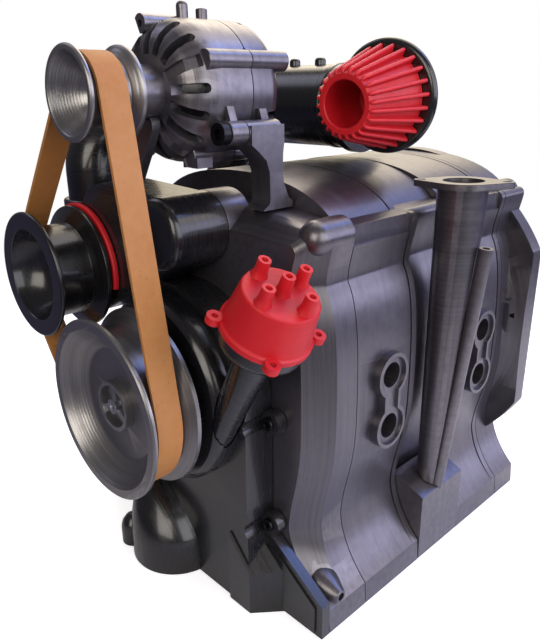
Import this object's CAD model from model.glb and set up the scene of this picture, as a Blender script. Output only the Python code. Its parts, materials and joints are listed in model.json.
"""Display model of a twin-rotor rotary engine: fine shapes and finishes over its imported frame."""

import json
import logging
import math
from contextlib import contextmanager
from dataclasses import dataclass
from enum import Enum
from typing import Iterator, Sequence

import bmesh
import bpy
from mathutils import Matrix, Vector


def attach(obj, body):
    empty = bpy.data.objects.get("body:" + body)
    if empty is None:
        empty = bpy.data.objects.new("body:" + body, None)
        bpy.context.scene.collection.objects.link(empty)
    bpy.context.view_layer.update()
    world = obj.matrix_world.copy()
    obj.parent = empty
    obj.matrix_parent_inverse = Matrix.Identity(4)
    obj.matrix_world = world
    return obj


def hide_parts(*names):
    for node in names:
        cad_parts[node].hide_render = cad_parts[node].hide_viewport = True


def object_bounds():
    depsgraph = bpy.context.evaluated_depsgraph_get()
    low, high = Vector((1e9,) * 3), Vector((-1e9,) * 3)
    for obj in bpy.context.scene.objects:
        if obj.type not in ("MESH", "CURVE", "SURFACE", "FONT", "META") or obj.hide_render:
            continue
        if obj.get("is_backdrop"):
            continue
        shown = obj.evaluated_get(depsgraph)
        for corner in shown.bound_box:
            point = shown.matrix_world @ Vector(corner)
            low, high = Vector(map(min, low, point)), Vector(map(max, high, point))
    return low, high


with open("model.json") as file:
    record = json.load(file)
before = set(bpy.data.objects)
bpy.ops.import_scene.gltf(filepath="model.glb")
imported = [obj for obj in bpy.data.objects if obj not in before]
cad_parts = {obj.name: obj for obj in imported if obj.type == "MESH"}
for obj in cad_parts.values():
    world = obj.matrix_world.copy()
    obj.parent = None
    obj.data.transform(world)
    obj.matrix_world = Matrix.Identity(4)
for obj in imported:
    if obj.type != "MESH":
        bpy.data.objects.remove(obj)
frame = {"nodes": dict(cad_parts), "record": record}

CAD_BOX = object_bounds()
log = logging.getLogger("rotary_engine")

Pair = tuple[float, float]
Place = tuple[float, float, float]
Colour = tuple[float, float, float]
Piece = bpy.types.Object
Node = bpy.types.Node
Socket = bpy.types.NodeSocket
Tree = bpy.types.NodeTree

MM = 0.001
TURN = 2 * math.pi
WELD = 2e-6  # points closer than this are one, in metres

ALONG_SHAFT = Vector((0, 1, 0))
UPRIGHT = Vector((0, 0, 1))
ACROSS = Vector((1, 0, 0))

SHAFT_HEIGHT = 62.5
ECCENTRICITY = 5.0
GENERATING_RADIUS = 35.0
SEAM = 0.3

PULLEY_FRONT = -88.7
FLANGE_FRONT = -57.5
SIDE_FRONT = -54.3
ROTOR_FRONT = -38.3
MIDDLE_HALF = 11.5
ROTOR_BACK = 38.3
REAR_END = 51.0

FRONT_CROWN = 113.0  # height of the front side housing's top
SLEEVE_RADIUS = 9.8  # the holes round the shaft
COVER_SEATS = ((32, 59), (31.6, 27), (-32, 59))  # x and z of the cover's screws
BLOCK = "engine_block"


class Work(Enum):
    """How one solid acts on another."""

    JOIN = "UNION"
    CUT = "DIFFERENCE"
    KEEP = "INTERSECT"


# Outlines


def at(x: float, y: float, z: float) -> Vector:
    """A place given in millimetres, in metres."""
    return Vector((x, y, z)) * MM


def arc(x: float, z: float, radius: float, start: float, end: float, steps: int) -> list[Pair]:
    """Points of an arc.

    Args:
        x, z: its centre. radius: its radius. start, end: its angles from +X towards +Z.
        steps: how many chords it has.

    Returns:
        The points, both ends included.
    """
    angles = [start + (end - start) * i / steps for i in range(steps + 1)]
    return [(x + radius * math.cos(a), z + radius * math.sin(a)) for a in angles]


def circle(x: float, z: float, radius: float, steps: int = 48) -> list[Pair]:
    """Points of a whole circle, each once."""
    return arc(x, z, radius, 0, TURN * (1 - 1 / steps), steps - 1)


def curve(a: Pair, b: Pair, shares: tuple[float, float, float, float], steps: int) -> list[Pair]:
    """A cubic curve between two points.

    Args:
        a, b: its ends. shares: how far its two controls lie from a to b, in x and z each.
        steps: how many chords it has.

    Returns:
        The points, both ends included.
    """
    first = (a[0] + (b[0] - a[0]) * shares[0], a[1] + (b[1] - a[1]) * shares[1])
    second = (a[0] + (b[0] - a[0]) * shares[2], a[1] + (b[1] - a[1]) * shares[3])
    points = []
    for i in range(steps + 1):
        t = i / steps
        weights = ((1 - t) ** 3, 3 * t * (1 - t) ** 2, 3 * t * t * (1 - t), t**3)
        points.append(
            tuple(sum(w * p[k] for w, p in zip(weights, (a, first, second, b))) for k in (0, 1))
        )
    return points


def hull(points: Sequence[Pair]) -> list[Pair]:
    """The smallest outline that goes round all the points."""
    ordered = sorted(set(points))

    def half(row: Sequence[Pair]) -> list[Pair]:
        """One side of the outline."""
        chain: list[Pair] = []
        for p in row:
            while len(chain) > 1:
                o, a = chain[-2], chain[-1]
                if (a[0] - o[0]) * (p[1] - o[1]) - (a[1] - o[1]) * (p[0] - o[0]) > 0:
                    break
                chain.pop()
            chain.append(p)
        return chain[:-1]

    return half(ordered) + half(ordered[::-1])


def without_repeats(points: Sequence[Pair]) -> list[Pair]:
    """The outline with no point given twice in a row."""
    return [p for i, p in enumerate(points) if math.dist(p, points[(i + 1) % len(points)]) > 1e-5]


def facing(points: Sequence[Pair], y: float) -> list[Vector]:
    """An outline of x and z set up at a place along the shaft."""
    return [at(x, y, z) for x, z in points]


# Ways of working


def take(piece: Piece) -> None:
    """Makes a piece the only one selected."""
    bpy.ops.object.select_all(action="DESELECT")
    piece.select_set(True)
    bpy.context.view_layer.objects.active = piece


@contextmanager
def editing(piece: Piece) -> Iterator[None]:
    """Edit mode on one piece, with all of it selected at the start."""
    take(piece)
    bpy.ops.object.mode_set(mode="EDIT")
    bpy.ops.mesh.select_all(action="SELECT")
    yield
    bpy.ops.object.mode_set(mode="OBJECT")


def ring_of(name: str, points: Sequence[Vector], filled: bool) -> Piece:
    """A circle primitive whose points are moved onto an outline."""
    bpy.ops.object.select_all(action="DESELECT")
    fill = "NGON" if filled else "NOTHING"
    bpy.ops.mesh.primitive_circle_add(vertices=len(points), radius=MM, fill_type=fill)
    piece = bpy.context.object
    piece.name = piece.data.name = name
    for vertex, spot in zip(piece.data.vertices, points):
        vertex.co = spot
    return piece


def closed_up() -> None:
    """Merges what meets and turns the faces outwards, in edit mode."""
    bpy.ops.mesh.select_all(action="SELECT")
    bpy.ops.mesh.remove_doubles(threshold=WELD)
    bpy.ops.mesh.normals_make_consistent(inside=False)


def pushed(name: str, points: Sequence[Vector], push: Vector) -> Piece:
    """A flat outline extruded into a solid.

    Args:
        name: the piece's name. points: the outline. push: how far and which way it goes.

    Returns:
        The closed piece.
    """
    piece = ring_of(name, points, True)
    with editing(piece):
        bpy.ops.mesh.extrude_region_move(TRANSFORM_OT_translate={"value": push})
        closed_up()
    return piece


def slab(name: str, outline: Sequence[Pair], front: float, back: float) -> Piece:
    """An outline of x and z carried along the shaft from front to back."""
    points = facing(without_repeats(outline), front)
    return pushed(name, points, at(0, back - front, 0))


def block(name: str, low: Sequence[float], high: Sequence[float]) -> Piece:
    """A plain box between two corners, used as a tool or as a rough start."""
    corners = [(low[0], low[2]), (high[0], low[2]), (high[0], high[2]), (low[0], high[2])]
    return slab(name, corners, low[1], high[1])


def turned(
    name: str, profile: Sequence[Pair], centre: Vector, axis: Vector, steps: int = 96
) -> Piece:
    """A profile spun round an axis.

    Args:
        name: the piece's name. profile: pairs of radius and place along the axis; it is closed,
            or it starts and ends on the axis. centre: a point of the axis. axis: its direction.
        steps: how many sides the piece has.

    Returns:
        The closed piece.
    """
    way = axis.normalized()
    side = Vector((0, 0, 1)).cross(way) if abs(way.z) < 0.9 else Vector((1, 0, 0))
    side = (side - way * side.dot(way)).normalized()
    points = [centre + (way * along + side * radius) * MM for radius, along in profile]
    piece = ring_of(name, points, False)
    with editing(piece):
        if profile[0][0] == 0 and profile[-1][0] == 0:
            mesh = bmesh.from_edit_mesh(piece.data)
            mesh.edges.ensure_lookup_table()
            mesh.edges.remove(mesh.edges[-1])
            bmesh.update_edit_mesh(piece.data)
        bpy.ops.mesh.select_all(action="SELECT")
        bpy.ops.mesh.spin(steps=steps, angle=TURN, center=centre, axis=way)
        closed_up()
    return piece


def rod(
    name: str,
    radius: float,
    start: Vector,
    end: Vector,
    steps: int = 48,
    round_start: float = 0,
    round_end: float = 0,
) -> Piece:
    """A round bar between two places.

    Args:
        name: the piece's name. radius: its radius. start, end: its two ends, in metres.
        steps: its sides. round_start, round_end: the radius of the rounding at each end.

    Returns:
        The closed piece.
    """
    length = (end - start).length / MM
    profile = [(0.0, 0.0)]
    if round_start:
        turn = arc(radius - round_start, round_start, round_start, -TURN / 4, 0, 6)
        profile += [p for p in turn if p[0] > 1e-4]
    else:
        profile += [(radius, 0.0)]
    if round_end:
        turn = arc(radius - round_end, length - round_end, round_end, 0, TURN / 4, 6)
        profile += [p for p in turn if p[0] > 1e-4]
    else:
        profile += [(radius, length)]
    profile += [(0.0, length)]
    return turned(name, profile, start, end - start, steps)


def pin(name: str, radius: float, place: Pair, front: float, back: float, *rest: float) -> Piece:
    """A round bar along the shaft's way at a place given as x and z; the rest goes to rod."""
    x, z = place
    return rod(name, radius, at(x, front, z), at(x, back, z), *rest)


def lofted(name: str, rings: Sequence[Sequence[Vector]], looped: bool = False) -> Piece:
    """A grid primitive wrapped round rings of points.

    Args:
        name: the piece's name. rings: rings with the same number of points.
        looped: True where the last ring joins the first.

    Returns:
        The closed piece.
    """
    rows = [[*ring, ring[0]] for ring in rings]
    if looped:
        rows.append(rows[0])
    bpy.ops.object.select_all(action="DESELECT")
    bpy.ops.mesh.primitive_grid_add(
        x_subdivisions=len(rows[0]) - 1, y_subdivisions=len(rows) - 1, size=MM
    )
    piece = bpy.context.object
    piece.name = piece.data.name = name
    for vertex, spot in zip(piece.data.vertices, [p for row in rows for p in row]):
        vertex.co = spot
    with editing(piece):
        bpy.ops.mesh.remove_doubles(threshold=WELD)
        if not looped:
            bpy.ops.mesh.select_all(action="SELECT")
            bpy.ops.mesh.fill_holes(sides=0)
        closed_up()
    return piece


def swept(name: str, path: Sequence[Vector], radii: Sequence[float], sides: int = 32) -> Piece:
    """A round bar or hose along a path.

    Args:
        name: the piece's name. path: its middle line, in metres. radii: its radius at each
            point. sides: how many sides it has.

    Returns:
        The closed piece.
    """
    rings = []
    side = None
    for i, spot in enumerate(path):
        ahead = path[min(i + 1, len(path) - 1)] - path[max(i - 1, 0)]
        way = ahead.normalized()
        side = way.orthogonal() if side is None else side
        side = (side - way * side.dot(way)).normalized()
        other = way.cross(side)
        ring = [
            spot
            + (side * math.cos(TURN * k / sides) + other * math.sin(TURN * k / sides))
            * radii[i]
            * MM
            for k in range(sides)
        ]
        rings.append(ring)
    return lofted(name, rings)


def worked(piece: Piece, how: Work, *tools: Piece) -> Piece:
    """Joins tools to a piece, cuts them from it or keeps what is common, and uses them up."""
    for tool in tools:
        take(piece)
        bpy.ops.object.modifier_add(type="BOOLEAN")
        step = piece.modifiers[-1]
        step.object = tool
        step.operation = how.value
        step.solver = "MANIFOLD"
        bpy.ops.object.modifier_apply(modifier=step.name)
        bpy.data.objects.remove(tool)
    return piece


def eased(piece: Piece, width: float, angle: float = 32, segments: int = 2) -> Piece:
    """Rounds a piece's sharp edges and shades it smooth.

    Args:
        piece: the piece. width: the rounding in millimetres, 0 for none.
        angle: edges sharper than this many degrees are rounded. segments: faces across it.

    Returns:
        The same piece.
    """
    with editing(piece):
        bpy.ops.mesh.remove_doubles(threshold=WELD * 2)
        bpy.ops.mesh.dissolve_limited(angle_limit=math.radians(0.4))
    take(piece)
    if width:
        bpy.ops.object.modifier_add(type="BEVEL")
        step = piece.modifiers[-1]
        step.width = width * MM
        step.segments = segments
        step.limit_method = "ANGLE"
        step.angle_limit = math.radians(angle)
        step.miter_outer = "MITER_ARC"
        step.use_clamp_overlap = True
        bpy.ops.object.modifier_apply(modifier=step.name)
    take(piece)
    bpy.ops.object.shade_smooth_by_angle(angle=math.radians(angle))
    bpy.ops.object.modifier_add(type="WEIGHTED_NORMAL")
    step = piece.modifiers[-1]
    step.keep_sharp = True
    step.weight = 80
    bpy.ops.object.modifier_apply(modifier=step.name)
    return piece


def turned_round(piece: Piece, centre: Vector, axis: Vector, angle: float) -> Piece:
    """Turns a piece's mesh about an axis through a centre."""
    spin = Matrix.Translation(centre) @ Matrix.Rotation(
        angle, 4, axis
    ) @ Matrix.Translation(-centre)
    piece.data.transform(spin)
    return piece


def laid(piece: Piece, foot: Vector, axis: Vector) -> Piece:
    """Carries a piece built along Y from the origin to a foot and lays it along an axis."""
    turn = ALONG_SHAFT.rotation_difference(axis.normalized()).to_matrix().to_4x4()
    piece.data.transform(Matrix.Translation(foot) @ turn)
    return piece


def copied(piece: Piece, name: str) -> Piece:
    """A copy of a piece with its own mesh."""
    twin = piece.copy()
    twin.data = piece.data.copy()
    twin.name = twin.data.name = name
    bpy.context.scene.collection.objects.link(twin)
    return twin


def round_axis(piece: Piece, count: int, centre: Vector, axis: Vector) -> list[Piece]:
    """The piece and its copies, spread evenly round an axis."""
    copies = [piece]
    for i in range(1, count):
        twin = copied(piece, f"{piece.name}_{i}")
        copies.append(turned_round(twin, centre, axis, TURN * i / count))
    return copies


# Shader effects shared by the finishes


class Board:
    """A node tree with short ways of placing and wiring nodes."""

    def __init__(self, tree: Tree) -> None:
        """Starts on an existing tree."""
        self.tree = tree

    def wired(self, node: Node, inputs: dict) -> Node:
        """Links or sets inputs of a node.

        Args:
            node: the node. inputs: a value or an output socket for each input.

        Returns:
            The same node.
        """
        for key, value in inputs.items():
            if isinstance(value, Socket):
                self.tree.links.new(value, node.inputs[key])
            else:
                node.inputs[key].default_value = value
        return node

    def node(self, kind: str, inputs: dict | None = None, **settings: object) -> Node:
        """Places a node.

        Args:
            kind: the node's type. inputs: a value or an output socket for each input.
            settings: the node's own settings.

        Returns:
            The node.
        """
        made = self.tree.nodes.new(kind)
        for key, value in settings.items():
            setattr(made, key, value)
        return self.wired(made, inputs or {})

    def math(self, operation: str, *values: object) -> Socket:
        """A sum of one or more values."""
        return self.node(
            "ShaderNodeMath", dict(enumerate(values)), operation=operation
        ).outputs[0]

    def vector(self, operation: str, *values: object) -> Node:
        """A sum of vectors."""
        return self.node("ShaderNodeVectorMath", dict(enumerate(values)), operation=operation)

    def dot(self, first: object, second: object) -> Socket:
        """How far one vector goes along another."""
        return self.vector("DOT_PRODUCT", first, second).outputs["Value"]

    def noise(self, where: object, scale: float, detail: float = 2) -> Socket:
        """Noise from 0 to 1 at a place."""
        return self.node(
            "ShaderNodeTexNoise", {"Vector": where, "Scale": scale, "Detail": detail}
        ).outputs["Fac"]

    def ranged(
        self, value: object, low: float, high: float, to_low: float, to_high: float
    ) -> Socket:
        """A value carried from one range to another, held inside it."""
        return self.node(
            "ShaderNodeMapRange", {0: value, 1: low, 2: high, 3: to_low, 4: to_high}
        ).outputs[0]

    def mixed(self, share: object, first: object, second: object) -> Socket:
        """A colour between two, each of them a socket or red, green and blue."""
        ends = [c if isinstance(c, Socket) else (*c, 1.0) for c in (first, second)]
        inputs = {0: share, 6: ends[0], 7: ends[1]}
        return self.node("ShaderNodeMix", inputs, data_type="RGBA").outputs[2]

    def tinted(self, base: object, mask: object, amount: float, colour: object) -> Socket:
        """A colour drawn towards another by an amount where the mask is 1."""
        return self.mixed(self.math("MULTIPLY", mask, amount), base, colour)

    def effects(self, trees: Sequence[Tree], where: Socket, way: Vector) -> list[Node]:
        """Places a node for each effect.

        Args:
            trees: the effects. where: the places they work at. way: the direction they follow.

        Returns:
            The nodes, in the order of the effects.
        """
        nodes = [self.node("ShaderNodeGroup", {"Vector": where}, node_tree=tree) for tree in trees]
        for node in nodes:
            if "Direction" in node.inputs:
                node.inputs["Direction"].default_value = way
        return nodes

    def bump(self, height: object, distance: float, strength: float) -> Socket:
        """The normals of a relief whose height of 1 is a distance in millimetres."""
        inputs = {"Height": height, "Distance": distance * MM, "Strength": strength}
        return self.node("ShaderNodeBump", inputs).outputs["Normal"]


def effect(name: str, takes: dict[str, object], gives: Sequence[str]) -> tuple:
    """Starts a shader node group.

    Args:
        name: its name. takes: its inputs and their first values. gives: its outputs.

    Returns:
        The group, a board on it, its input node and its output node.
    """
    group = bpy.data.node_groups.new(name, "ShaderNodeTree")
    for key, value in takes.items():
        kind = "NodeSocketFloat" if isinstance(value, float) else "NodeSocketVector"
        socket = group.interface.new_socket(name=key, in_out="INPUT", socket_type=kind)
        socket.default_value = value
    for key in gives:
        group.interface.new_socket(name=key, in_out="OUTPUT", socket_type="NodeSocketFloat")
    board = Board(group)
    return group, board, board.node("NodeGroupInput"), board.node("NodeGroupOutput")


def layer_effect() -> Tree:
    """Print layers: fine ridges stacked along a direction, a little uneven."""
    takes = {"Vector": (0, 0, 0), "Direction": (0, 1, 0), "Pitch": 0.0004}
    group, board, start, end = effect("print_layers", takes, ["Height", "Tone"])
    where = start.outputs["Vector"]
    along = board.dot(where, start.outputs["Direction"])
    drift = board.math("MULTIPLY", board.noise(where, 90.0), 0.35)
    count = board.math("ADD", board.math("DIVIDE", along, start.outputs["Pitch"]), drift)
    wave = board.math("SINE", board.math("MULTIPLY", count, TURN))
    ridge = board.ranged(wave, -1, 1, 0, 1)
    layer = board.math("FLOOR", count)
    chance = board.node("ShaderNodeTexWhiteNoise", {"W": layer}, noise_dimensions="1D")
    tone = chance.outputs["Value"]
    height = board.math("ADD", ridge, board.math("MULTIPLY", tone, 0.5))
    board.wired(end, {"Height": height, "Tone": tone})
    return group


def silk_effect() -> Tree:
    """Silk streaks: tone that changes quickly across the layers and slowly along them."""
    group, board, start, end = effect(
        "silk_streaks", {"Vector": (0, 0, 0), "Direction": (0, 1, 0)}, ["Streak", "Cloud"]
    )
    where = start.outputs["Vector"]
    along = board.dot(where, start.outputs["Direction"])
    stretch = board.vector("SCALE", start.outputs["Direction"])
    board.wired(stretch, {"Scale": board.math("MULTIPLY", along, 45.0)})
    pulled = board.vector("ADD", where, stretch.outputs[0]).outputs[0]
    streak = board.ranged(board.noise(pulled, 26.0, 4), 0.3, 0.7, 0, 1)
    cloud = board.ranged(board.noise(where, 34.0, 3), 0.35, 0.65, 0, 1)
    board.wired(end, {"Streak": streak, "Cloud": cloud})
    return group


def grain_effect() -> Tree:
    """Fine grain and tiny nozzle pimples."""
    group, board, start, end = effect("plastic_grain", {"Vector": (0, 0, 0)}, ["Height", "Scuff"])
    where = start.outputs["Vector"]
    fine = board.noise(where, 2600.0, 2)
    pimple = board.ranged(board.noise(where, 900.0, 0), 0.72, 0.8, 0, 1)
    height = board.math("ADD", fine, board.math("MULTIPLY", pimple, 0.8))
    scuff = board.ranged(board.noise(where, 160.0, 5), 0.55, 0.72, 0, 1)
    board.wired(end, {"Height": height, "Scuff": scuff})
    return group


def edge_effect() -> Tree:
    """Worn edges: 1 along outer edges, broken up by noise, and 0 elsewhere."""
    group, board, start, end = effect("edge_wear", {"Vector": (0, 0, 0)}, ["Edge", "Hollow"])
    point = board.node("ShaderNodeNewGeometry").outputs["Pointiness"]
    rough = board.ranged(board.noise(start.outputs["Vector"], 500.0, 3), 0.3, 0.7, 0.35, 1)
    edge = board.math("MULTIPLY", board.ranged(point, 0.515, 0.56, 0, 1), rough)
    board.wired(end, {"Edge": edge, "Hollow": board.ranged(point, 0.49, 0.44, 0, 1)})
    return group


LAYERS = layer_effect()
SILK = silk_effect()
GRAIN = grain_effect()
EDGES = edge_effect()


def shaded(colour: Colour, share: float) -> Colour:
    """A colour with all of its parts times a share."""
    return tuple(share * c for c in colour)


@dataclass(frozen=True)
class Finish:
    """What every finish has: its name, the material slot it stands for and its colour."""

    name: str
    slot: str
    colour: Colour

    def label(self, way: Vector) -> str:
        """The name of its material for one direction."""
        return f"{self.name}_{round(way.x, 2)}_{round(way.y, 2)}_{round(way.z, 2)}"

    def surface(self, board: Board, where: Socket, way: Vector) -> dict:
        """What goes into the shader's inputs; each kind of finish says it."""
        raise NotImplementedError

    def material(self, direction: Vector) -> bpy.types.Material:
        """The finish laid along a direction, made once for each label."""
        way = direction.normalized()
        label = self.label(way)
        if label not in bpy.data.materials:
            made = bpy.data.materials.new(label)
            made.use_nodes = True
            board = Board(made.node_tree)
            where = board.node("ShaderNodeTexCoord").outputs["Object"]
            shader = made.node_tree.nodes["Principled BSDF"]
            board.wired(shader, self.surface(board, where, way))
        return bpy.data.materials[label]


@dataclass(frozen=True)
class PrintFinish(Finish):
    """Printed plastic: layers, silk streaks, grain and worn edges over one colour."""

    streak_colour: Colour
    grazing_colour: Colour
    grazing: float
    roughness: float
    metallic: float
    coat: float = 0.0
    coat_roughness: float = 0.12
    pitch: float = 0.45
    layer_depth: float = 0.012
    grain_depth: float = 0.006
    streak: float = 0.35
    cloud: float = 0.3
    edge_light: float = 1.5
    edge_share: float = 0.55
    hollow_share: float = 0.5
    uneven: float = 0.04
    scuff: float = 0.08

    def surface(self, board: Board, where: Socket, way: Vector) -> dict:
        """Layers stacked along the direction, tints from the masks, grain and scuffs."""
        layers, silk, grain, edges = board.effects((LAYERS, SILK, GRAIN, EDGES), where, way)
        layers.inputs["Pitch"].default_value = self.pitch * MM
        away = board.node("ShaderNodeLayerWeight", {"Blend": 0.35}).outputs["Facing"]
        light = tuple(min(0.9, self.edge_light * c + 0.01) for c in self.streak_colour)
        base = self.colour
        for mask, amount, colour in (
            (silk.outputs["Streak"], self.streak, self.streak_colour),
            (silk.outputs["Cloud"], self.cloud, shaded(self.colour, 0.82)),
            (away, self.grazing, self.grazing_colour),
            (edges.outputs["Edge"], self.edge_share, light),
            (edges.outputs["Hollow"], self.hollow_share, shaded(self.colour, 0.35)),
        ):
            base = board.tinted(base, mask, amount, colour)
        least, most = self.roughness - self.uneven, self.roughness + self.uneven
        rough = board.ranged(layers.outputs["Tone"], 0, 1, least, most)
        scuffed = board.math("MULTIPLY", grain.outputs["Scuff"], self.scuff)
        ridges = board.math("MULTIPLY", layers.outputs["Height"], self.layer_depth)
        pits = board.math("MULTIPLY", grain.outputs["Height"], self.grain_depth)
        return {
            "Base Color": base,
            "Roughness": board.math("ADD", rough, scuffed),
            "Normal": board.bump(board.math("ADD", ridges, pits), 1, 0.8),
            "Metallic": self.metallic,
            "Coat Weight": self.coat,
            "Coat Roughness": self.coat_roughness,
            "Specular IOR Level": 0.5,
        }


@dataclass(frozen=True)
class MetalFinish(Finish):
    """Turned or plated metal with brushed streaks and worn edges."""

    roughness: float
    brushing: float = 0.5
    uneven: float = 0.07
    grain_depth: float = 0.004

    def surface(self, board: Board, where: Socket, way: Vector) -> dict:
        """Brushing across the direction, lighter edges and a fine grain."""
        silk, grain, edges = board.effects((SILK, GRAIN, EDGES), where, way)
        streak = silk.outputs["Streak"]
        base = board.tinted(self.colour, streak, self.brushing, shaded(self.colour, 0.7))
        light = tuple(min(1.0, 1.25 * c) for c in self.colour)
        least, most = self.roughness - self.uneven, self.roughness + self.uneven
        return {
            "Base Color": board.mixed(edges.outputs["Edge"], base, light),
            "Roughness": board.ranged(streak, 0, 1, least, most),
            "Normal": board.bump(grain.outputs["Height"], self.grain_depth, 0.6),
            "Metallic": 1.0,
        }


@dataclass(frozen=True)
class RubberFinish(Finish):
    """The tan rubber of the belt: matt, a little mottled, with a fine weave of pores."""

    name: str = "tan_rubber"
    slot: str = "belt_rubber"
    colour: Colour = (0.47, 0.185, 0.036)
    dark: Colour = (0.36, 0.13, 0.028)
    pore: Colour = (0.2, 0.09, 0.04)
    worn: Colour = (0.6, 0.33, 0.15)
    grain_depth: float = 0.02

    def label(self, way: Vector) -> str:
        """One name, because the finish is the same in every direction."""
        return self.name

    def surface(self, board: Board, where: Socket, way: Vector) -> dict:
        """Dark clouds, pores and rubbed edges."""
        grain, edges = board.effects((GRAIN, EDGES), where, way)
        cloud = board.ranged(board.noise(where, 60.0, 4), 0.3, 0.7, 0, 1)
        speck = board.ranged(board.noise(where, 700.0, 1), 0.7, 0.78, 0, 0.5)
        base = board.mixed(speck, board.tinted(self.colour, cloud, 0.55, self.dark), self.pore)
        return {
            "Base Color": board.tinted(base, edges.outputs["Edge"], 0.4, self.worn),
            "Roughness": board.ranged(cloud, 0, 1, 0.5, 0.66),
            "Normal": board.bump(grain.outputs["Height"], self.grain_depth, 0.7),
        }


GUNMETAL = PrintFinish(
    "gunmetal_silk", "gunmetal_print", (0.106, 0.097, 0.100), (0.162, 0.151, 0.157),
    (0.17, 0.18, 0.36), 0.3, 0.32, 0.85, coat=0.2, coat_roughness=0.22, streak=0.7,
)
SILVER = PrintFinish(
    "silver_silk", "silver_print", (0.22, 0.21, 0.205), (0.34, 0.33, 0.32),
    (0.24, 0.25, 0.38), 0.3, 0.32, 0.85, coat=0.1, streak=0.8, pitch=0.6, layer_depth=0.02,
)
BLACK = PrintFinish(
    "black_gloss", "black_print", (0.006, 0.0055, 0.0055), (0.010, 0.009, 0.009),
    (
        0.014, 0.015, 0.03
    ), 0.35, 0.26, 0.0, coat=0.45, coat_roughness=0.12, streak=0.6, layer_depth=0.006,
)
RED = PrintFinish(
    "red_gloss", "red_print", (0.56, 0.005, 0.010), (0.68, 0.009, 0.014),
    (0.44, 0.006, 0.030), 0.3, 0.5, 0.0, coat=0.03, coat_roughness=0.18, streak=0.5, edge_light=1.1,
    layer_depth=0.008,
)
RUBBER = RubberFinish()
STEEL = MetalFinish("bright_steel", "steel", (0.55, 0.55, 0.56), 0.3)
BLACK_SCREW = MetalFinish("black_oxide", "black_screw", (0.03, 0.03, 0.033), 0.36)
BUSH = MetalFinish("bush_brass", "bush_metal", (0.62, 0.44, 0.2), 0.34)
FINISH_OF_SLOT = {
    f.slot: f for f in (GUNMETAL, SILVER, BLACK, RED, RUBBER, STEEL, BLACK_SCREW, BUSH)
}


def dressed(
    piece: Piece, finish: Finish, body: str, nodes: Sequence[str], direction: Vector = ALONG_SHAFT
) -> Piece:
    """Gives a finished piece its material, its body and the nodes that it stands for."""
    piece.data.materials.clear()
    piece.data.materials.append(finish.material(direction))
    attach(piece, body)
    if nodes:
        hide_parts(*nodes)
    log.info("%s: %d faces, stands for %s", piece.name, len(piece.data.polygons), ", ".join(nodes))
    return piece


# The housings


@dataclass
class HousingShape:
    """The outline that the housings share, seen along the shaft."""

    rail_half: float = 52.0
    rail_height: float = 7.2
    rail_lean: float = 0.5
    waist_half: float = 41.6
    lower_waist: float = 26.0
    belly_half: float = 46.0
    belly_height: float = 59.0
    upper_waist: float = 96.0
    shoulder_half: float = 43.6
    shoulder_height: float = 110.5
    shoulder_round: float = 2.0
    shelf_half: float = 36.0
    crown: float = 120.5
    crown_rise: float = 0.8
    steps: int = 12

    def outline(self, inset: float = 0.0, crown: float = 120.5) -> list[Pair]:
        """The whole outline, drawn in at its sides by the inset."""
        shoulder = min(self.shoulder_height, crown - self.crown_rise)
        n = self.steps
        waist = self.waist_half - inset
        edge = self.shoulder_half - inset
        belly = (self.belly_half - inset, self.belly_height)
        side = [(self.rail_half, 0.0)]
        side += curve(
            (self.rail_half - self.rail_lean, self.rail_height),
            (waist, self.lower_waist),
            (0.5, 0.24, 0.95, 0.62),
            n,
        )
        side += curve((waist, self.lower_waist), belly, (0.08, 0.32, 1.05, 0.5), n)[1:]
        side += curve(belly, (waist, self.upper_waist), (-0.02, 0.42, 0.1, 0.84), n)[1:]
        side += curve(
            (waist, self.upper_waist), (
                edge, shoulder - self.shoulder_round
            ), (-0.1, 0.35, 0.85, 0.7), n
        )[1:]
        side += arc(
            edge - self.shoulder_round, shoulder - self.shoulder_round, self.shoulder_round, 0,
            TURN / 4, 5
        )[1:]
        side += curve((self.shelf_half - inset, shoulder), (0.0, crown), (0.2, 0.75, 0.6, 1), n)
        mirrored = [(-x, z) for x, z in side[:-1]][::-1]
        return without_repeats(side + mirrored)

    def bore(self, grow: float = 0.0, steps: int = 96) -> list[Pair]:
        """The two-lobed chamber wall that the rotor tips follow."""
        radius = GENERATING_RADIUS + grow
        points = []
        for i in range(steps):
            t = TURN * i / steps
            x = ECCENTRICITY * math.sin(3 * t) + radius * math.sin(t)
            z = ECCENTRICITY * math.cos(3 * t) + radius * math.cos(t)
            points.append((x, z + SHAFT_HEIGHT))
        return points


SHAPE = HousingShape()


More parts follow.
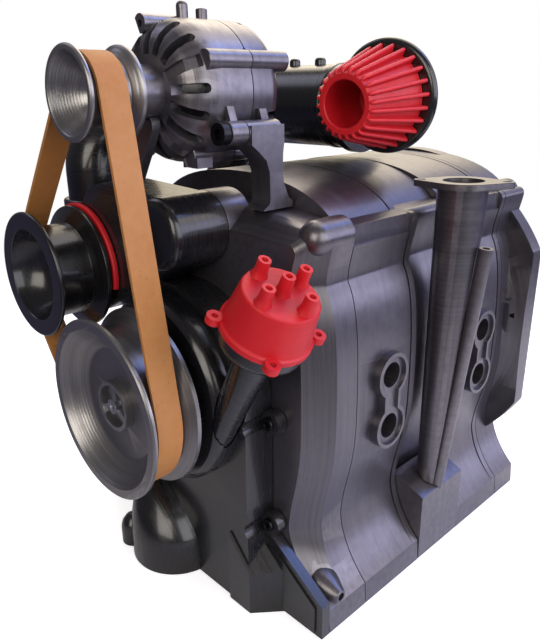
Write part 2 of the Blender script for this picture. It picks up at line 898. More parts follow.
@dataclass
class RotorHousing:
    """A rotor housing with its plug boss, ledge, groove and chamber."""

    name: str
    front: float
    back: float
    plug_heights: tuple[float, float] = (67.5, 51.7)
    plug_radius: float = 3.7
    boss_radius: float = 6.6
    boss_rise: float = 1.3
    rim_rise: float = 0.9
    rim_width: float = 1.1
    waist: float = 3.6
    ledge_depth: float = 1.3
    ledge_height: float = 5.2
    groove_width: float = 0.7
    groove_depth: float = 0.7
    port_radius: float = 5.5
    port_height: float = 42.5

    def figure_eight(self, inset: float, start: float, end: float) -> list[Piece]:
        """The boss round both holes as solids from start to end along X."""
        middle = (self.front + self.back) / 2
        high, low = self.plug_heights
        radius = self.boss_radius - inset
        discs = [
            rod("boss_disc", radius, at(start, middle, z), at(end, middle, z), 64)
            for z in self.plug_heights
        ]
        half = self.waist - inset
        return [
            *discs, block("boss_waist", (start, middle - half, low), (end, middle + half, high))
        ]

    def build(self) -> Piece:
        """Cuts the housing and builds its boss."""
        middle = (self.front + self.back) / 2
        piece = slab(self.name + "_fine", SHAPE.outline(), self.front, self.back)
        face = SHAPE.belly_half + self.boss_rise
        worked(piece, Work.JOIN, *self.figure_eight(0, 38, face + self.rim_rise))
        worked(piece, Work.CUT, *self.figure_eight(self.rim_width, face, face + 4))
        groove_back = self.back - 2.2
        ring = slab("ring", SHAPE.outline(-2, 123), groove_back - self.groove_width, groove_back)
        core = slab(
            "core",
            SHAPE.outline(self.groove_depth, SHAPE.crown - self.groove_depth),
            groove_back - 3,
            groove_back + 3,
        )
        worked(
            ring, Work.CUT, core, block("rail_room", (-60, -60, -1), (60, 60, SHAPE.rail_height))
        )
        ledge_front = SHAPE.shoulder_half - self.ledge_depth
        ledge = block(
            "ledge",
            (ledge_front, self.front - 1, SHAPE.shoulder_height - self.ledge_height),
            (60, self.back - 2.2, 125),
        )
        holes = [
            rod("hole", self.plug_radius, at(24, middle, z), at(60, middle, z), 48)
            for z in self.plug_heights
        ]
        port = rod(
            "port", self.port_radius, at(-25, middle, self.port_height),
            at(-60, middle, self.port_height),
        )
        chamber = slab("chamber", SHAPE.bore(), self.front - 1, self.back + 1)
        worked(piece, Work.CUT, ring, ledge, chamber, port, *holes)
        return eased(piece, 0.28)


@dataclass
class SideHousing:
    """The front side housing: rounded forward edge, corner lobes and bosses for the cover."""

    front: float = SIDE_FRONT + SEAM / 2
    back: float = ROTOR_FRONT - SEAM / 2
    rounding: float = 7.5
    inset: float = 5.5
    crown: float = FRONT_CROWN
    crown_drop: float = 5.0
    steps: int = 10

    def build(self) -> Piece:
        """Lofts the housing and adds its lobes and bosses."""
        rings = []
        for i in range(self.steps + 1):
            angle = TURN / 4 * i / self.steps
            share = 1 - math.sin(angle)
            outline = SHAPE.outline(self.inset * share, self.crown - self.crown_drop * share)
            rings.append(facing(outline, self.front + self.rounding * math.sin(angle)))
        rings.append(facing(SHAPE.outline(0, self.crown), self.back))
        piece = lofted("front_side_housing_fine", rings)
        front = self.front
        lobes = [
            pin("lobe", 4.6, (side * 39, 108.2), front + 2.2, self.back, 40, 4.4)
            for side in (-1, 1)
        ]
        lobes.append(pin("finger", 4.1, (26.4, 107), front + 5.5, front + 13, 40, 3.9, 2))
        lobes.append(pin("outlet", 9.8, (4.6, 107.4), front, front + 9.6, 64, 0, 1.2))
        for x, z in COVER_SEATS:
            lobes.append(pin("boss", 3.6, (x, z), front, front + 6.4, 32))
        tip = at(SHAPE.rail_half - 0.2, front + 4.7, 9.4)
        cone = turned(
            "mount", [(0, -8), (5.3, -8), (5.0, -5.6), (1.95, -0.3), (1.7, 0), (0, 0)], tip, ACROSS,
            48,
        )
        worked(cone, Work.CUT, block("clear", (20, front - 9, -1), (60, front, 20)))
        worked(piece, Work.JOIN, *lobes, cone)
        mount_hole = rod("hole", 1.15, tip - at(4, 0, 0), tip + at(1, 0, 0), 32)
        sleeve = pin("sleeve", SLEEVE_RADIUS, (0, SHAFT_HEIGHT), front - 1, self.back + 1, 64)
        worked(piece, Work.CUT, mount_hole, sleeve)
        return eased(piece, 0.25)


@dataclass
class MiddleHousing:
    """The intermediate housing with the block that carries the filler tube."""

    inset: float = 3.4
    block_half: float = 11.35
    block_depth: float = 12.0
    block_height: float = 22.6
    block_inner: float = 26.6
    slope_run: float = 9.0

    def build(self) -> Piece:
        """Joins the block to the housing."""
        front, back = -MIDDLE_HALF + SEAM / 2, MIDDLE_HALF - SEAM / 2
        piece = slab("intermediate_housing_fine", SHAPE.outline(self.inset), front, back)
        outer = SHAPE.rail_half
        side = [
            (outer - self.block_depth, 0),
            (outer, 0),
            (outer, self.block_height),
            (outer - self.slope_run, self.block_inner),
            (outer - self.block_depth, self.block_inner),
        ]
        foot = slab("foot", side, -self.block_half, self.block_half)
        bore = pin("bore", SLEEVE_RADIUS, (0, SHAFT_HEIGHT), front - 1, back + 1, 64)
        worked(piece, Work.JOIN, foot)
        worked(piece, Work.CUT, bore)
        return eased(piece, 0.3)


@dataclass
class RearHousing:
    """The rear side housing with the round flange for a bell housing."""

    flange_radius: float = 58.8
    flange_width: float = 5.6
    recess: float = 2.6

    def build(self) -> Piece:
        """Joins flange, lobes and lug to the housing and cuts the recess behind."""
        front, back = ROTOR_BACK + SEAM / 2, REAR_END
        start = back - self.flange_width
        piece = slab("rear_side_housing_fine", SHAPE.outline(), front, back)
        centre = at(0, 0, SHAFT_HEIGHT)
        disc = turned(
            "flange", [
                (0, start), (self.flange_radius, start), (self.flange_radius, back), (0, back)
            ], centre, ALONG_SHAFT, 160
        )
        trim = block("trim", (-52, start - 1, 0), (52, back + 1, 140))
        worked(disc, Work.KEEP, trim)
        flare = turned(
            "flare",
            [
                (0, front + 2), (44, front + 2), (46.5, front + 3.6), (50.5, start - 1.6),
                (57.4, start + 0.1), (0, start + 0.1),
            ],
            centre,
            ALONG_SHAFT,
            160,
        )
        worked(flare, Work.KEEP, block("trim", (-52, start - 9, 0), (52, back + 1, 140)))
        lobes = [pin("lobe", 4.3, (s * 37.2, 108.6), front, back, 40) for s in (-1, 1)]
        lug_y = back - 7.4
        lug_outline = hull([*circle(lug_y, 72.2, 2.2, 24), *circle(lug_y, 63.8, 2.2, 24)])
        lug = pushed("lug", [at(44.4, y, z) for y, z in lug_outline], at(3.2, 0, 0))
        worked(piece, Work.JOIN, disc, flare, *lobes, lug)
        recess = pin("recess", 43.2, (0, SHAFT_HEIGHT), back - self.recess, back + 1, 128)
        sleeve = pin("sleeve", SLEEVE_RADIUS, (0, SHAFT_HEIGHT), front - 1, back + 1, 64)
        seat = pin("seat", 15.3, (0, SHAFT_HEIGHT), back - 5.3, back + 1, 64)
        hole = rod("hole", 1.0, at(45, lug_y, 68), at(49, lug_y, 68), 24)
        heads = [
            pin("head", 3.2, (x, SHAFT_HEIGHT + z), back - 3, back + 1, 32)
            for x in (-37, 37)
            for z in (31, -29)
        ]
        worked(piece, Work.CUT, recess, sleeve, seat, hole, *heads)
        return eased(piece, 0.35)


# Pulleys and belt


@dataclass
class Pulley:
    """A dished pulley with a flange at both ends of its drum."""

    node: str
    body: str
    x: float
    height: float
    radius: float
    drum: float
    length: float
    flange: float
    rim_width: float
    dish_radius: float
    dish_depth: float
    hub_radius: float
    hub_rise: float
    front_run: float
    back_run: float
    bore: float
    finish: PrintFinish
    bowl: tuple[float, float, float, float] = (0.18, 0.02, 0.75, 0.6)

    def centre(self) -> Vector:
        """A point of the pulley's axis."""
        return at(self.x, 0, self.height)

    def profile(self) -> list[Pair]:
        """The section of the pulley from its bore round to its bore."""
        front = PULLEY_FRONT
        back = front + self.length
        floor = front + self.dish_depth
        rim = self.radius - self.rim_width
        dish = curve((self.dish_radius, floor), (rim, front), self.bowl, 24)
        hub = [
            (self.bore, floor - self.hub_rise),
            (self.hub_radius, floor - self.hub_rise),
            (self.hub_radius, floor),
        ]
        outside = [
            (self.radius - 0.5, front),
            (self.radius, front + 0.4),
            (self.radius, front + self.flange),
            (self.drum, front + self.front_run),
            (self.drum, back - self.back_run),
            (self.radius, back - self.flange),
            (self.radius, back),
            (self.bore, back),
        ]
        return hub + dish + outside

    def build(self) -> Piece:
        """Spins the pulley and rounds its edges."""
        piece = turned(self.node + "_fine", self.profile(), self.centre(), ALONG_SHAFT, 128)
        return self.detail(piece)

    def detail(self, piece: Piece) -> Piece:
        """Rounds the edges; other pulleys add their own details here."""
        return eased(piece, 0.22, 25)


@dataclass
class CrankPulley(Pulley):
    """The large pulley, whose hub is a ring with three pockets round its bolt."""

    spokes: int = 3

    def detail(self, piece: Piece) -> Piece:
        """Cuts the hub's cavity and leaves three webs in it."""
        floor = PULLEY_FRONT + self.dish_depth
        rise = floor - self.hub_rise
        cavity = rod(
            "cavity", 5.9, self.centre() + at(0, rise - 1, 0),
            self.centre() + at(0, floor - 0.2, 0), 64,
        )
        worked(piece, Work.CUT, cavity)
        web = block("web", (2.0, rise + 0.7, -1.1), (6.4, floor + 0.2, 1.1))
        web.data.transform(Matrix.Translation(self.centre()))
        turned_round(web, self.centre(), ALONG_SHAFT, 0.6)
        worked(piece, Work.JOIN, *round_axis(web, self.spokes, self.centre(), ALONG_SHAFT))
        return eased(piece, 0.2, 25)


CRANK_PULLEY = CrankPulley(
    "crank_pulley", "crankshaft", 0, SHAFT_HEIGHT, 25, 21.4, 14.3, 1.1, 2.8, 15.6, 6, 7, 2.4, 1.1,
    3.2, 1.8, SILVER
)
PUMP_PULLEY = Pulley(
    "water_pump_pulley", "water_pump_spindle", -32, 93.4, 17.8, 13.2, 15.3, 1.2, 4.8, 5.4, 9, 3.6,
    1.2, 2.4, 3, 1.8, BLACK,
    (0.5, 0.02, 0.9, 0.55),
)
ALTERNATOR_PULLEY = Pulley(
    "alternator_pulley", "alternator_spindle", 0.7, 141.7, 10.6, 8, 14.4, 1, 1.4, 3.4, 8, 2.4, 0.5,
    2.6, 2.6, 1.0, SILVER
)


@dataclass
class Belt:
    """The flat rubber band round the three drums."""

    thickness: float = 1.0
    gap: float = 0.3
    front: float = -85.8
    width: float = 7.4

    def outline(self, extra: float) -> list[Pair]:
        """The band's path, a distance off the drums."""
        wheels = (CRANK_PULLEY, PUMP_PULLEY, ALTERNATOR_PULLEY)
        points: list[Pair] = []
        for wheel in wheels:
            points += circle(wheel.x, wheel.height, wheel.drum + extra, 96)
        return hull([(round(x, 6), round(z, 6)) for x, z in points])

    def build(self) -> Piece:
        """Cuts the band out of a slab of its outline."""
        back = self.front + self.width
        piece = slab("drive_belt_fine", self.outline(self.gap + self.thickness), self.front, back)
        inside = slab("inside", self.outline(self.gap), self.front - 1, back + 1)
        worked(piece, Work.CUT, inside)
        return eased(piece, 0.2, 40)


@dataclass
class CapScrew:
    """A socket cap screw whose head faces the front."""

    node: str
    body: str
    x: float
    height: float
    head_front: float
    length: float
    finish: Finish
    radius: float = 1.5
    head_radius: float = 2.7
    head_height: float = 2.2
    socket: float = 1.35

    def build(self) -> Piece:
        """Spins the screw and cuts its six-sided socket."""
        shank = self.head_front + self.head_height
        profile = [
            (0, self.head_front),
            (self.head_radius, self.head_front),
            (self.head_radius, shank),
            (self.radius, shank),
            (self.radius, shank + self.length),
            (0, shank + self.length),
        ]
        piece = turned(self.node + "_fine", profile, at(self.x, 0, self.height), ALONG_SHAFT, 48)
        socket = slab(
            "socket", circle(
                self.x, self.height, self.socket, 6
            ), self.head_front - 1, self.head_front + 1.3
        )
        worked(piece, Work.CUT, socket)
        return eased(piece, 0.15)


SCREWS = (
    *(
        CapScrew(f"cover_screw_{i}", BLOCK, x, z, -58.5, 7.8, BLACK_SCREW, 1.4, 1.9, 1.2, 0.95)
        for i, (x, z) in enumerate(COVER_SEATS, 1)
    ),
    CapScrew("crank_bolt", "crankshaft", 0, SHAFT_HEIGHT, -85.2, 9.7, STEEL, 1.5, 2.1, 2.2, 1.0),
    CapScrew(
        "water_pump_screw", "water_pump_spindle", -32, 93.4, -82.6, 5.5, BLACK_SCREW, 1.5, 2.2, 1.6,
        1.1,
    ),
    CapScrew("clamp_screw", BLOCK, 19.4, 132.3, -61.1, 14.6, BLACK_SCREW),
)


# Cover, pump, alternator, throttle and tubes


@dataclass
class FrontCover:
    """The black cover: arch, flange with ears, round chamber, nose and stepped box."""

    front: float = -64.2
    back: float = -54.45
    half: float = 30.0
    wall: float = 2.2
    flange_half: float = 52.0
    diagonal: Pair = (10.5, 25.2)
    chamber_radius: float = 27.5
    chamber_front: float = -70.8
    shaft_hole: float = 6.6
    ear_radius: float = 3.6
    ear_hole: float = 1.8
    head_room: float = 3.0
    nose_place: Pair = (-8.0, -61.2)
    nose_radius: float = 15.0

    def arch(self, inset: float) -> list[Pair]:
        """The outline of the arched box, drawn in by the inset."""
        half = self.half - inset
        return [(-half, 0), (half, 0), *arc(0, SHAFT_HEIGHT, half, 0, TURN / 2, 64)]

    def nose(self) -> Piece:
        """The rounded nose, which leans to the left as it tapers into the cover."""
        x, y = self.nose_place
        stations = (
            (0, 0, 0), (9, 0, 0), (12, 0.5, 0.5), (15, 1.4, 1.4), (18, 2.7, 2.7), (22, 4.6, 5.0),
            (26, 6.4, 8.2),
        )
        rings = []
        for height, left, less in stations:
            radius = self.nose_radius - less
            rings.append([at(x - left + a, y + b, height) for a, b in circle(0, 0, radius, 64)])
        piece = lofted("nose", rings)
        return worked(piece, Work.KEEP, block("clip", (-52, -76.15, 0), (52, self.back - 2.5, 60)))

    def lip(self) -> Piece:
        """The small rounded lip at the left of the nose."""
        profile = [(0, 0), (4.2, 0), (4.2, 5.6), (3.8, 7.4), (2.6, 9.2), (1.2, 10.2), (0, 10.5)]
        return turned("lip", profile, at(-20.6, -70.3, 0), UPRIGHT, 40)

    def step(self) -> Piece:
        """The stepped box at the lower right, drawn back into the flange."""
        near, far = -65.1, FLANGE_FRONT
        rings = [
            [at(x, near, z) for x, z in ((22.4, 0), (31.2, 0), (31.2, 13.4), (22.4, 23.0))],
            [at(x, far, z) for x, z in ((22.1, 0), (37.6, 0), (37.6, 14.4), (22.1, 26.8))],
        ]
        return lofted("step", rings)

    def build(self) -> Piece:
        """Joins the cover's forms, hollows it and cuts its holes."""
        piece = slab("front_cover_fine", self.arch(0), self.front, self.back)
        low, high = self.diagonal
        edge, half = self.flange_half, self.half
        plate = [(-edge, 0), (edge, 0), (edge, low), (half, high), (-half, high), (-edge, low)]
        forms = [slab("flange", plate, FLANGE_FRONT, self.back)]
        inner = [
            (-edge + 2, 1.2), (edge - 2.4, 1.2), (edge - 2.4, low - 1.2), (half, high - 2.2),
            (-half, high - 2.2), (-edge + 2, low - 1),
        ]
        forms.append(slab("raised_field", inner, FLANGE_FRONT - 0.5, self.back))
        for x, z in COVER_SEATS:
            forms.append(pin("ear", self.ear_radius, (x, z), FLANGE_FRONT, self.back, 40))
        centre = at(0, 0, SHAFT_HEIGHT)
        rise = self.wall
        chamber = [
            (0, self.chamber_front),
            (self.chamber_radius - rise, self.chamber_front),
            (self.chamber_radius - 0.5 * rise, self.chamber_front + 0.35 * rise),
            (self.chamber_radius - 0.1 * rise, self.chamber_front + rise),
            (self.chamber_radius, self.chamber_front + 2 * rise),
            (self.chamber_radius, self.back),
            (0, self.back),
        ]
        forms.append(turned("chamber", chamber, centre, ALONG_SHAFT, 128))
        forms += [self.nose(), self.lip(), self.step()]
        worked(piece, Work.JOIN, *forms)
        room = slab("room", self.arch(self.wall), self.front + self.wall, self.back + 1)
        bar = block("bar", (-half, self.front, 0), (half, self.back + 2, self.wall))
        worked(room, Work.CUT, bar)
        tools = [room]
        hollow = self.chamber_radius - self.wall
        tools.append(
            rod(
                "hollow", hollow, centre + at(0, self.chamber_front + rise, 0),
                centre + at(0, self.back + 1, 0), 96,
            )
        )
        tools.append(
            rod("hole", self.shaft_hole, centre + at(0, -75, 0), centre + at(0, self.back, 0), 64)
        )
        for x, z in COVER_SEATS:
            tools.append(pin("hole", self.ear_hole, (x, z), -59, self.back + 1, 32))
            tools.append(pin("head_room", self.head_room, (x, z), -66, FLANGE_FRONT, 40))
        tools.append(Distributor().tube("seat", SEAM))
        worked(piece, Work.CUT, *tools)
        return eased(piece, 0.22, 28)


@dataclass
class Distributor:
    """The leaning black tube with its cup, and the red cap with five towers and four ears."""

    foot: Vector = Vector((17.4, -66.7, 45.6))
    lean: float = 0.486
    tube_length: float = 44.6
    foot_radius: float = 3.2
    neck_radius: float = 4.9
    cup_radius: float = 10.6
    cup_top: float = 50.0
    cap_base: float = 50.3
    rim_top: float = 51.9
    cap_top: float = 61.9
    tower_angle: float = 0.66
    tower_reach: float = 6.9
    tower_height: float = 4.4
    ear_reach: float = 12.5

    def laid(self, piece: Piece) -> Piece:
        """Lays a piece built along Y on the distributor's axis."""
        axis = Vector((math.sin(self.lean), 0, math.cos(self.lean)))
        return laid(piece, self.foot * MM, axis)

    def tube(self, name: str, margin: float) -> Piece:
        """The tapered tube alone, grown by a margin."""
        profile = [
            (0, -margin),
            (self.foot_radius + margin, -margin),
            (self.neck_radius + margin, self.tube_length),
            (0, self.tube_length),
        ]
        return self.laid(turned(name, profile, Vector(), ALONG_SHAFT, 64))

    def body(self) -> Piece:
        """The tube and its cup."""
        rounded = arc(self.cup_radius - 2.4, self.tube_length + 2.9, 2.4, -TURN / 4, 0, 6)
        profile = [
            (1.6, 0),
            (self.foot_radius, 0),
            (self.neck_radius, self.tube_length - 1.2),
            (self.neck_radius + 0.8, self.tube_length - 0.2),
            *rounded,
            (self.cup_radius, self.cup_top - 1.4),
            (self.cup_radius, self.cup_top),
            (9.1, self.cup_top),
            (9.1, 47.6),
            (1.6, 47.6),
        ]
        piece = turned("distributor_body_fine", profile, Vector(), ALONG_SHAFT, 96)
        return eased(self.laid(piece), 0.2, 30)

    def tower(self, name: str, extra: float) -> Piece:
        """One hollow tower on the cap's top, on the axis."""
        top = self.cap_top + self.tower_height + extra
        profile = [
            (0, self.cap_top - 0.5),
            (2.25, self.cap_top - 0.5),
            (2.05, self.cap_top + 0.25),
            (1.72, self.cap_top + 1.0),
            (1.6, self.cap_top + 2.0),
            (1.55, top),
            (0.8, top),
            (0.8, self.cap_top + 1.9),
            (0, self.cap_top + 1.9),
        ]
        return turned(name, profile, Vector(), ALONG_SHAFT, 40)

    def cap(self) -> Piece:
        """The red cap with its rim, towers and ears."""
        profile = [
            (9.7, self.cap_base),
            (11.4, self.cap_base),
            (11.4, self.rim_top - 0.3),
            (10.9, self.rim_top),
            (10.7, self.rim_top + 0.4),
            (9.45, self.cap_top - 0.8),
            (9.2, self.cap_top - 0.25),
            (8.75, self.cap_top),
            (0, self.cap_top),
            (0, self.cap_top - 1.5),
            (8.2, self.cap_top - 1.5),
        ]
        piece = turned("distributor_cap_fine", profile, Vector(), ALONG_SHAFT, 96)
        parts, holes = [self.tower("tower", 0.5)], []
        for i in range(4):
            angle = self.tower_angle + i * TURN / 4
            tower = self.tower("tower", 0)
            tower.data.transform(
                Matrix.Translation(
                    at(self.tower_reach * math.sin(angle), 0, self.tower_reach * math.cos(angle))
                )
            )
            parts.append(tower)
            turn = angle + TURN / 8
            x, z = self.ear_reach * math.sin(turn), self.ear_reach * math.cos(turn)
            parts.append(pin("ear", 1.9, (x, z), self.cap_base, self.rim_top + 0.3, 40))
            holes.append(pin("hole", 0.8, (x, z), self.cap_base - 1, self.rim_top + 1, 24))
        worked(piece, Work.JOIN, *parts)
        worked(piece, Work.CUT, *holes)
        return eased(self.laid(piece), 0.2, 30)


@dataclass
class WaterPump:
    """The pump body with its outlet, the red ring behind the pulley and the tall elbow."""

    front: float = -71.15
    back: float = -54.45
    hub: Place = (-32.0, 93.4, 14.5)
    upper: Place = (-22.0, 105.0, 13.0)
    outlet: Place = (4.6, 107.4, 9.8)
    rounding: float = 2.6
    elbow_place: Pair = (-40.5, -60.6)
    elbow_foot: float = 107.5

    def outline(self, inset: float) -> list[Pair]:
        """The scroll's outline, drawn in by the inset."""
        x, z, radius = self.outlet
        points = circle(x, z, radius - SEAM - inset, 72)
        for x, z, radius in (self.hub, self.upper):
            points += circle(x, z, radius - inset, 96)
        return hull([(round(x, 5), round(z, 5)) for x, z in points])

    def shell(self, front: float, steps: int = 6) -> list[Piece]:
        """The scroll as slabs that step out to a rounded front edge."""
        slabs = []
        for i in range(steps + 1):
            angle = TURN / 4 * i / steps
            inset = self.rounding * (1 - math.sin(angle))
            start = front + self.rounding * (1 - math.cos(angle))
            slabs.append(slab("layer", self.outline(inset), start, self.back - 0.001 * i))
        return slabs

    def body(self) -> Piece:
        """The scroll with its outlet and socket, cut to fit the cover."""
        piece, *layers = self.shell(self.front)
        piece.name = piece.data.name = "water_pump_body_fine"
        x, z, radius = self.outlet
        front = -71.7
        bend = arc(radius - self.rounding, front + self.rounding, self.rounding, -TURN / 4, 0, 8)
        outlet = turned(
            "outlet", [(0, front), *bend, (radius, self.back), (0, self.back)], at(x, 0, z),
            ALONG_SHAFT, 96,
        )
        ex, ey = self.elbow_place
        socket = rod(
            "socket", 10.2, at(ex, ey, self.elbow_foot - SEAM - 8),
            at(ex, ey, self.elbow_foot - SEAM), 64,
        )
        worked(socket, Work.KEEP, block("keep", (-90, -92, 0), (0, self.back, self.elbow_foot)))
        worked(piece, Work.JOIN, *layers, outlet, socket)
        hub = at(self.hub[0], 0, self.hub[1])
        centre = at(0, 0, SHAFT_HEIGHT)
        tools = [
            rod("chamber", 10.5, hub + at(0, -72.3, 0), hub + at(0, self.front + 9, 0), 64),
            rod("shaft", 2.6, hub + at(0, self.front, 0), hub + at(0, self.back + 1, 0), 32),
            rod(
                "cover_room", 30.3, centre + at(0, -64.5, 0), centre + at(0, self.back + 1, 0), 128
            ),
            rod("chamber_room", 27.8, centre + at(0, -71.1, 0), centre + at(0, self.back, 0), 128),
            rod(
                "elbow_room", 10.5, at(ex, ey, self.elbow_foot - SEAM),
                at(ex, ey, self.elbow_foot + 24), 48,
            ),
        ]
        worked(piece, Work.CUT, *tools)
        return eased(piece, 0.2, 30)

    def ring(self) -> Piece:
        """The red ring, cut straight below."""
        front, back = -72.8, -71.5
        x, z, _ = self.hub
        profile = [(9, front), (18.1, front), (18.4, front + 0.35), (18.4, back), (9, back)]
        piece = turned("water_pump_ring_fine", profile, at(x, 0, z), ALONG_SHAFT, 128)
        worked(piece, Work.KEEP, block("keep", (x - 20, front - 1, 89.4), (x + 20, back + 1, 120)))
        return eased(piece, 0.12, 30)

    def elbow(self) -> Piece:
        """The elbow that rises and bends to the rear."""
        x, y = self.elbow_place
        bend, rise, run, radius = 11.0, 12.0, 8.0, 8.6
        path = [at(x, y, self.elbow_foot), at(x, y, self.elbow_foot + rise)]
        for i in range(1, 13):
            angle = TURN / 4 * i / 12
            path.append(
                at(
                    x, y + bend * (1 - math.cos(angle)),
                    self.elbow_foot + rise + bend * math.sin(angle),
                )
            )
        path.append(path[-1] + at(0, run, 0))
        piece = swept("coolant_elbow_fine", path, [radius] * len(path), 64)
        end = path[-1]
        collars = [
            rod("foot", 10.2, at(x, y, self.elbow_foot), at(x, y, self.elbow_foot + 4), 64, 0, 0.8),
            rod("bead", radius + 0.5, end - at(0, 2.4, 0), end - at(0, 1.0, 0), 64, 0.4, 0.4),
        ]
        worked(piece, Work.JOIN, *collars)
        mouth = rod("mouth", 6.4, end - at(0, run, 0), end + at(0, 1, 0), 48)
        behind = block("behind", (-90, self.back, self.elbow_foot - 1), (0, 10, 113.3))
        worked(piece, Work.CUT, mouth, behind)
        return eased(piece, 0.2, 30)


@dataclass
class Alternator:
    """The alternator's two bells, its bracket and the strap."""

    x: float = 0.7
    z: float = 141.7
    radius: float = 17.3
    front: float = -67.0
    seam: float = -48.0
    back: float = -36.4
    bolt_angle: float = 0.45
    bolt_reach: float = 16.4
    bolt_radius: float = 2.5
    bolt_front: float = -61.2
    ear_place: Pair = (19.4, 132.3)
    ear_radius: float = 2.9
    bell_inner: float = 15.6
    bracket_side: float = 15.6
    bracket_width: float = 7.0

    def centre(self) -> Vector:
        """A point of the axis."""
        return at(self.x, 0, self.z)

    def out_at(self, angle: float, reach: float) -> Pair:
        """A place round the axis, as x and z."""
        return self.x + reach * math.cos(angle), self.z + reach * math.sin(angle)

    def bolts(
        self, front: float, back: float, radius: float, round_front: float = 0
    ) -> list[Piece]:
        """Four bars along the axis at the bolts' places."""
        bars = []
        for i in range(4):
            x, z = self.out_at(self.bolt_angle + i * TURN / 4, self.bolt_reach)
            bars.append(pin("bolt_bar", radius, (x, z), front, back, 48, round_front))
        return bars

    def slot(
        self, angle: float, width: float, front: float, back: float, inner: float = 8.8
    ) -> Piece:
        """A round-ended cutter from an inner radius out through the wall."""
        half = width / 2
        outline = hull([*circle(back - half, 0, half, 24), (front, -half), (front, half)])
        points = [at(self.x + inner, y, self.z + z) for y, z in outline]
        cutter = pushed("slot", points, at(self.radius - inner + 2, 0, 0))
        return turned_round(cutter, self.centre(), ALONG_SHAFT, -angle)

    def channel(self, angle: float) -> Piece:
        """A groove from the hub to a bolt boss."""
        points = [
            at(self.x + r, y, self.z - 1.5)
            for r, y in (
                (7.4, -68), (20, -68), (20, -61.6), (14.6, -61.6), (13.0, -64.4), (7.4, -66.2)
            )
        ]
        cutter = pushed("channel", points, at(0, 0, 3.0))
        return turned_round(cutter, self.centre(), ALONG_SHAFT, -angle)

    def front_bell(self) -> Piece:
        """The front bell with its collar, slots, bosses, ear and top boss."""
        back = self.seam - SEAM / 2
        shoulder = [
            (8.8, -66.6), (11.4, -66.2), (13.6, -65.1), (15.3, -63.4), (16.4, -61.4), (17.0, -59.2),
            (17.3, -56.8),
        ]
        profile = [
            (2.9, -71.8),
            (6.4, -71.8),
            (6.4, -66.7),
            *shoulder,
            (self.radius, back),
            (self.bell_inner, back),
            (self.bell_inner, -58.7),
            (13.9, -61.25),
            (11.5, -63.2),
            (2.9, -63.7),
        ]
        piece = turned("alternator_front_bell_fine", profile, self.centre(), ALONG_SHAFT, 128)
        keep_in = rod(
            "keep", self.bell_inner, self.centre() + at(0, -62.6, 0),
            self.centre() + at(0, back + 1, 0), 96,
        )
        ex, ez = self.ear_place
        web_end = (self.x + 15.7 * 0.8, self.z - 15.7 * 0.5)
        web = slab(
            "web", hull([*circle(ex, ez, 2.3, 32), *circle(*web_end, 2.3, 32)]), -58.3, -53.6
        )
        forms = [
            *self.bolts(self.bolt_front, back, self.bolt_radius, 0.3),
            web,
            block("top_web", (-6.3, -62.1, 157.4), (-1.7, -52.6, 157.6)),
            rod("stud", 1.5, at(-3.2, -52.6, 157.4), at(-3.2, -52.6, 163.4), 32, 0, 1.2),
        ]
        bosses = [forms.pop(0) for _ in range(4)]
        for boss in bosses:
            worked(boss, Work.CUT, copied(keep_in, "keep_copy"))
        worked(web, Work.CUT, keep_in)
        forms += bosses
        forms += [
            pin("ear", self.ear_radius, (ex, ez), -58.6, -53.6, 48, 0.3),
            pin("top_boss", 2.3, (-4, 157.6), -65, -52.6, 40),
        ]
        lug = [(ex - 1.2, ez), (ex + 0.6, ez + 1), (ex - 1.4, ez + 6.2), (ex - 2.6, ez + 6.2)]
        forms.append(slab("lug", lug, -56.8, -54.6))
        forms.append(block("flat_lug", (6.6, -62.0, 123.9), (12.4, -57.2, 126.4)))
        worked(piece, Work.JOIN, *forms)
        tools = [
            self.slot(self.bolt_angle + k * TURN / 16, 2.3, -69, -60.6) for k in range(16) if k % 4
        ]
        tools += [self.channel(self.bolt_angle + k * TURN / 4) for k in range(4)]
        tools.append(pin("ear_hole", 1.8, (ex, ez), -60, -53, 32))
        tools.append(pin("boss_hole", 0.9, (-4, 157.6), -66, -62, 24))
        worked(piece, Work.CUT, *tools)
        return eased(piece, 0.16, 30)

    def rear_bell(self) -> Piece:
        """The rear bell with its windows, bosses and stud."""
        front = self.seam + SEAM / 2
        profile = [
            (self.bell_inner, front),
            (self.radius, front),
            (self.radius, -41.6),
            (17.0, -40.2),
            (16.1, -38.7),
            (14.6, -37.4),
            (12.6, self.back),
            (0, self.back),
            (0, -38.1),
            (10.9, -38.1),
            (self.bell_inner, -42.2),
        ]
        piece = turned("alternator_rear_bell_fine", profile, self.centre(), ALONG_SHAFT, 128)
        keep_in = rod(
            "keep", self.bell_inner, self.centre() + at(0, front - 1, 0),
            self.centre() + at(0, -40.5, 0), 96,
        )
        bosses = self.bolts(front, -35.6, self.bolt_radius)
        for boss in bosses:
            worked(boss, Work.CUT, copied(keep_in, "keep_copy"))
        bpy.data.objects.remove(keep_in)
        stud = rod("stud", 1.5, at(-3.2, -46.4, 157.4), at(-3.2, -46.4, 162), 32, 0, 0.4)
        worked(piece, Work.JOIN, *bosses, stud)
        windows = []
        for i in range(4):
            angle = self.bolt_angle + (i + 0.5) * TURN / 4
            window = block(
                "window", (self.x + 12.6, -42.4, self.z - 0.85), (self.x + 20, -38.6, self.z + 0.85)
            )
            windows.append(turned_round(window, self.centre(), ALONG_SHAFT, -angle))
        worked(piece, Work.CUT, *windows)
        return eased(piece, 0.16, 30)

